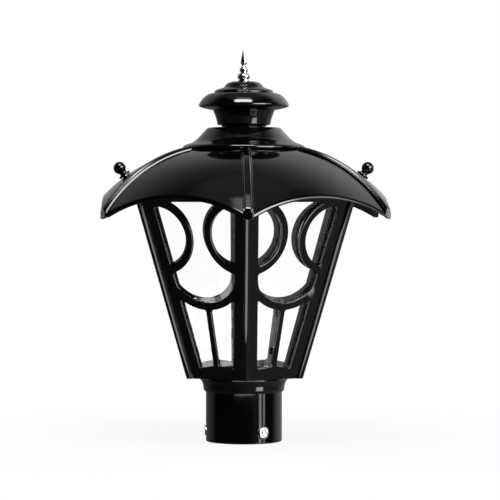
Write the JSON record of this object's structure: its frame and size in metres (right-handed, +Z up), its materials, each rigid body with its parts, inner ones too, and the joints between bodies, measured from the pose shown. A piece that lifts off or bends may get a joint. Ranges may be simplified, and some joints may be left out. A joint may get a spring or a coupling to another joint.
{
  "type": "post-top garden light",
  "caption": "Hexagonal post-top garden light: tapered glazed cage with curved tracery on a pole sleeve, ribbed umbrella roof with a vent stack and a turned finial.",
  "frame": {"origin": "centre of the sleeve's bottom face, on the pole's axis", "axes": "+Z up the pole, one corner of the cage along -Y, the two ball nuts on +X and -X"},
  "size_m": [0.324, 0.3682, 0.4547],
  "materials": {
    "black_paint": "gloss black paint on cast aluminium",
    "sleeve_paint": "gloss black paint on a steel tube",
    "clear_glass": "clear float glass",
    "zinc_steel": "bright zinc plate",
    "bright_chrome": "polished chrome",
    "holder_body": "glazed off-white",
    "brass_contact": "plain brass"
  },
  "bodies": {
    "lantern": {"pole_sleeve": "sleeve_paint", "base_casting": "black_paint", "side_frame_1": "black_paint", "side_frame_2": "black_paint", "side_frame_3": "black_paint", "side_frame_4": "black_paint", "side_frame_5": "black_paint", "side_frame_6": "black_paint", "corner_strip_1": "black_paint", "corner_strip_2": "black_paint", "corner_strip_3": "black_paint", "corner_strip_4": "black_paint", "corner_strip_5": "black_paint", "corner_strip_6": "black_paint", "glass_pane_1": "clear_glass", "glass_pane_2": "clear_glass", "glass_pane_3": "clear_glass", "glass_pane_4": "clear_glass", "glass_pane_5": "clear_glass", "glass_pane_6": "clear_glass", "base_screws": "zinc_steel", "top_screws": "black_paint", "top_frame": "black_paint", "roof": "black_paint", "stud_left": "zinc_steel", "stud_right": "zinc_steel", "roof_bridge": "zinc_steel", "centre_rod": "zinc_steel", "rod_nut": "zinc_steel", "vent_base": "black_paint", "vent_neck": "black_paint", "vent_cap": "black_paint", "finial": "bright_chrome", "lampholder": "holder_body", "holder_shell": "brass_contact", "centre_contact": "brass_contact"},
    "clamp_screw_1": {"clamp_screw_1": "zinc_steel"},
    "clamp_screw_2": {"clamp_screw_2": "zinc_steel"},
    "clamp_screw_3": {"clamp_screw_3": "zinc_steel"},
    "ball_nut_left": {"ball_nut_left": "black_paint"},
    "ball_nut_right": {"ball_nut_right": "black_paint"}
  },
  "joints": [
    {"name": "clamp_screw_1_travel", "type": "slide", "parent": "lantern", "child": "clamp_screw_1", "axis": [-0.5, 0.866, 0], "range_m": [0, 0.0025]},
    {"name": "clamp_screw_2_travel", "type": "slide", "parent": "lantern", "child": "clamp_screw_2", "axis": [-0.5, -0.866, 0], "range_m": [0, 0.0025]},
    {"name": "clamp_screw_3_travel", "type": "slide", "parent": "lantern", "child": "clamp_screw_3", "axis": [1, 0, 0], "range_m": [0, 0.0025]},
    {"name": "ball_nut_left_turn", "type": "hinge", "parent": "lantern", "child": "ball_nut_left", "pos_m": [-0.136, 0, 0.30492], "axis": [-0.5859, 0, 0.8104], "continuous": true},
    {"name": "ball_nut_right_turn", "type": "hinge", "parent": "lantern", "child": "ball_nut_right", "pos_m": [0.136, 0, 0.30492], "axis": [0.5859, 0, 0.8104], "continuous": true}
  ]
}
